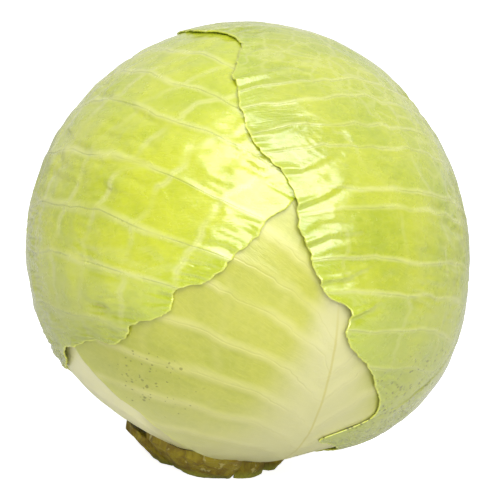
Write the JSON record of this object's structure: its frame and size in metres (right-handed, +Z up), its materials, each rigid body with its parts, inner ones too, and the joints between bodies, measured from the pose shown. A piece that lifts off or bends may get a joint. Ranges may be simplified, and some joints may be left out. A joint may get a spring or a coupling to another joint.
{
  "type": "cabbage head",
  "caption": "Round white cabbage head of nested leaves on a short cut stem, with torn leaf bases round the stem.",
  "frame": {"origin": "middle of the cut face of the stem, which the head stands on", "axes": "+Z up the head's axis, away from the cut stem; +X to the right of the pictured front; -Y towards the front"},
  "size_m": [0.1783, 0.1728, 0.1816],
  "materials": {
    "outer_leaf": "satin",
    "pale_leaf": "satin",
    "inner_leaf": "satin",
    "torn_petiole": "matte",
    "stem": "matte",
    "heart": "satin"
  },
  "bodies": {
    "root": {"right_outer_leaf": "outer_leaf", "left_outer_leaf": "outer_leaf", "front_leaf": "pale_leaf", "back_leaf": "pale_leaf", "lower_left_leaf": "pale_leaf", "inner_leaf_01": "inner_leaf", "inner_leaf_02": "inner_leaf", "inner_leaf_03": "inner_leaf", "inner_leaf_04": "inner_leaf", "inner_leaf_05": "inner_leaf", "inner_leaf_06": "inner_leaf", "inner_leaf_07": "inner_leaf", "inner_leaf_08": "inner_leaf", "inner_leaf_09": "inner_leaf", "inner_leaf_10": "inner_leaf", "inner_leaf_11": "inner_leaf", "inner_leaf_12": "inner_leaf", "inner_leaf_13": "inner_leaf", "inner_leaf_14": "inner_leaf", "inner_leaf_15": "inner_leaf", "inner_leaf_16": "inner_leaf", "torn_petiole_right": "torn_petiole", "torn_petiole_left": "torn_petiole", "torn_petiole_front_right": "torn_petiole", "torn_petiole_back": "torn_petiole", "torn_petiole_front": "torn_petiole", "stem_and_core": "stem", "heart_bud": "heart"}
  },
  "joints": []
}
